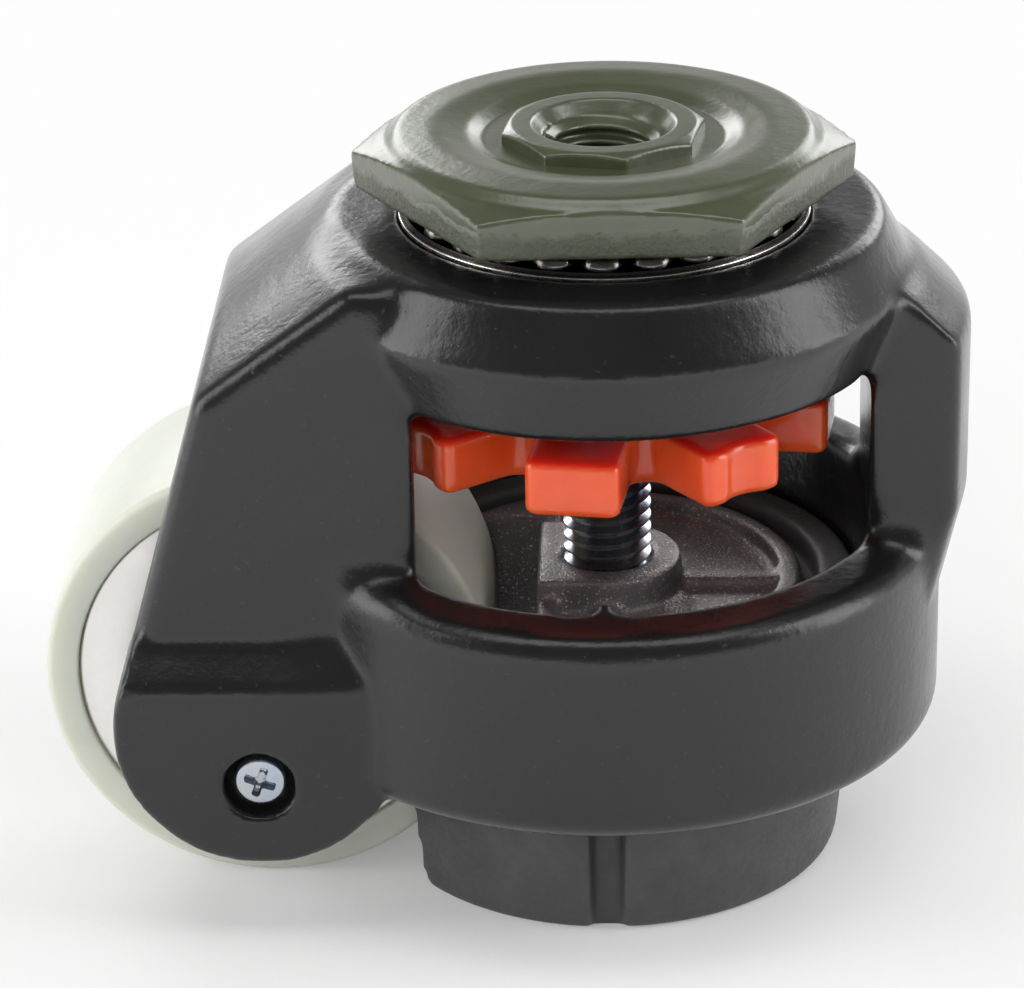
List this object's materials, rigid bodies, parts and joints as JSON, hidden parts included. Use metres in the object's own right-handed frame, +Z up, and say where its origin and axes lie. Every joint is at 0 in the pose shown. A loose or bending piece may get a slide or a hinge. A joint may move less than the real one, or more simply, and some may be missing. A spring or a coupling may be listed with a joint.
{
  "type": "levelling castor",
  "caption": "Swivel castor with a wheel behind an open cast housing and a screw-down rubber foot turned by a star-shaped hand wheel.",
  "frame": {"origin": "centre of the rubber foot's underside, where the swivel axis meets the floor", "axes": "+Z up along the swivel axis and out of the threaded nut; the wheel lies toward -X and its axle runs along Y"},
  "size_m": [0.1033, 0.075, 0.0859],
  "materials": {
    "plate_paint": "satin",
    "race_steel": "satin",
    "ball_steel": "polished",
    "housing_paint": "satin",
    "zinc_steel": "satin",
    "bush_plastic": "satin",
    "tyre_nylon": "satin",
    "core_metal": "satin",
    "star_plastic": "gloss",
    "foot_metal": "matte",
    "pad_rubber": "matte"
  },
  "bodies": {
    "head": {"mounting_plate": "plate_paint", "stem_nut": "plate_paint", "lower_race_cone": "race_steel"},
    "housing": {"housing": "housing_paint", "upper_race_cup": "race_steel", "lower_race_cup": "race_steel", "axle": "zinc_steel", "spacer_front": "zinc_steel", "spacer_back": "zinc_steel", "axle_keeper_front": "zinc_steel", "axle_keeper_back": "zinc_steel", "keeper_screw_front": "zinc_steel", "keeper_screw_back": "zinc_steel"},
    "upper_ball_row": {"upper_balls": "ball_steel"},
    "lower_ball_row": {"lower_balls": "ball_steel"},
    "adjuster": {"star_wheel": "star_plastic", "levelling_screw": "zinc_steel", "star_pin": "zinc_steel", "thrust_washer": "race_steel", "snap_ring": "race_steel"},
    "foot": {"foot_casting": "foot_metal", "foot_pad": "pad_rubber"},
    "wheel": {"wheel_tyre": "tyre_nylon", "wheel_core": "core_metal", "wheel_bush_front": "bush_plastic", "wheel_bush_back": "bush_plastic"}
  },
  "joints": [
    {"name": "swivel", "type": "hinge", "parent": "head", "child": "housing", "pos_m": [0, 0, 0.0763], "axis": [0, 0, 1], "continuous": true},
    {"name": "upper_ball_orbit", "type": "hinge", "parent": "head", "child": "upper_ball_row", "pos_m": [0, 0, 0.0763], "axis": [0, 0, 1], "continuous": true},
    {"name": "lower_ball_orbit", "type": "hinge", "parent": "head", "child": "lower_ball_row", "pos_m": [0, 0, 0.0669], "axis": [0, 0, 1], "continuous": true},
    {"name": "adjuster_turn", "type": "hinge", "parent": "housing", "child": "adjuster", "pos_m": [0, 0, 0.0531], "axis": [0, 0, 1], "range_deg": [-1440, 1920]},
    {"name": "foot_lift", "type": "slide", "parent": "housing", "child": "foot", "axis": [0, 0, 1], "range_m": [-0.008, 0.006]},
    {"name": "wheel_spin", "type": "hinge", "parent": "housing", "child": "wheel", "pos_m": [-0.038, 0, 0.025], "axis": [0, 1, 0], "continuous": true}
  ],
  "couplings": [
    {"joint": "upper_ball_orbit", "follows": "swivel", "ratio": 0.5},
    {"joint": "lower_ball_orbit", "follows": "swivel", "ratio": 0.5},
    {"joint": "adjuster_turn", "follows": "foot_lift", "rad_per_m": -4188.8}
  ]
}
